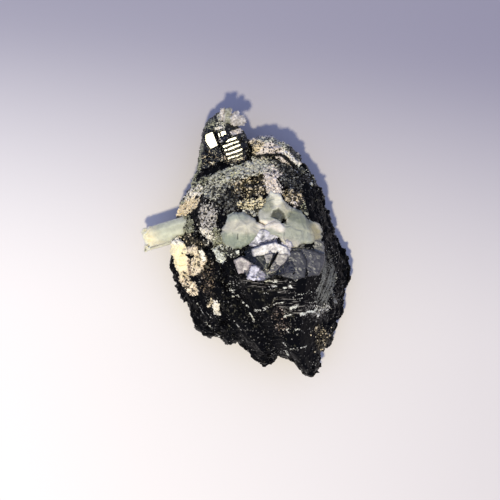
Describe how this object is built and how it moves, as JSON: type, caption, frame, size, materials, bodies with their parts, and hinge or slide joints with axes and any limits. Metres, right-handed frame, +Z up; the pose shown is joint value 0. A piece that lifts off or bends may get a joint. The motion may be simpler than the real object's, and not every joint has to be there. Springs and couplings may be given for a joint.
{
  "type": "aquamarine in quartz specimen",
  "caption": "Hand specimen: pale aquamarine and clear quartz in a lump of black tourmaline with granular feldspar, lying on its broken underside.",
  "frame": {"origin": "on the flat base that the specimen lies on, at the middle of the bounding box", "axes": "+Y along the specimen's length, towards the tourmaline stub at its head; +Z up from the base; +X away from the aquamarine prism"},
  "size_m": [0.0528, 0.068, 0.0259],
  "materials": {
    "tourmaline": "glossy black crystal with dull granular patches",
    "aquamarine": "milky pale green crystal, waxy to glassy",
    "quartz": "clear to cloudy crystal",
    "feldspar": "sugary granular, cream to pinkish white"
  },
  "bodies": {
    "root": {"tourmaline_mass": "tourmaline", "tourmaline_knob": "tourmaline", "aquamarine_prism": "aquamarine", "aquamarine_vein": "aquamarine", "quartz_window": "quartz", "quartz_sprigs": "quartz", "feldspar_crust": "feldspar", "feldspar_ridge": "feldspar"}
  },
  "joints": []
}
